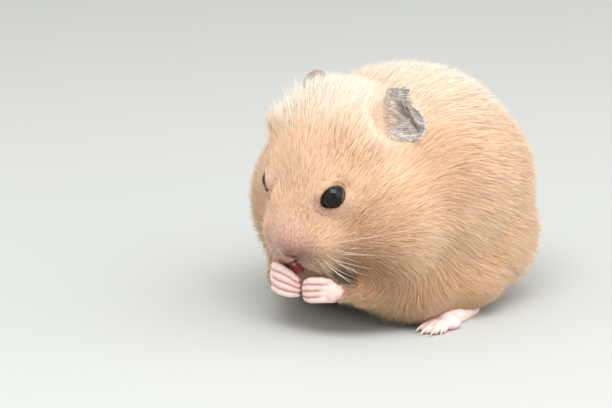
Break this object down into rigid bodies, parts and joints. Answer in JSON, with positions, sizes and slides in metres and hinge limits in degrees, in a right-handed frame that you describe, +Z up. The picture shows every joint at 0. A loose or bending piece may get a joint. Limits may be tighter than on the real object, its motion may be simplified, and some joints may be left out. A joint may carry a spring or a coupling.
{
  "type": "syrian hamster",
  "caption": "Life-size cream Syrian hamster, crouched on its hind feet and eating from both raised forepaws; a still model.",
  "frame": {"origin": "on the floor, under the middle of the animal's bounding box", "axes": "+Z up, the animal faces -Y, its left side is on +X; the head and forepaws are turned 6 degrees to its right"},
  "size_m": [0.059, 0.0801, 0.0565],
  "materials": {
    "coat": "short dense plush fur, cream to apricot, paler on the back, chest and between the ears",
    "bare_skin": "soft pink bare skin of nose, fingers and soles, faintly moist",
    "ear_skin": "thin dark grey skin under fine pale hairs",
    "eye": "wet black gloss"
  },
  "bodies": {
    "root": {"trunk": "coat", "neck": "coat", "head": "coat", "tail": "coat", "foreleg_left": "coat", "foreleg_right": "coat", "hindleg_left": "coat", "hindleg_right": "coat", "nose": "bare_skin", "forepaw_left": "bare_skin", "forepaw_right": "bare_skin", "hindfoot_left": "bare_skin", "hindfoot_right": "bare_skin", "ear_left": "ear_skin", "ear_right": "ear_skin", "eye_left": "eye", "eye_right": "eye"}
  },
  "joints": []
}
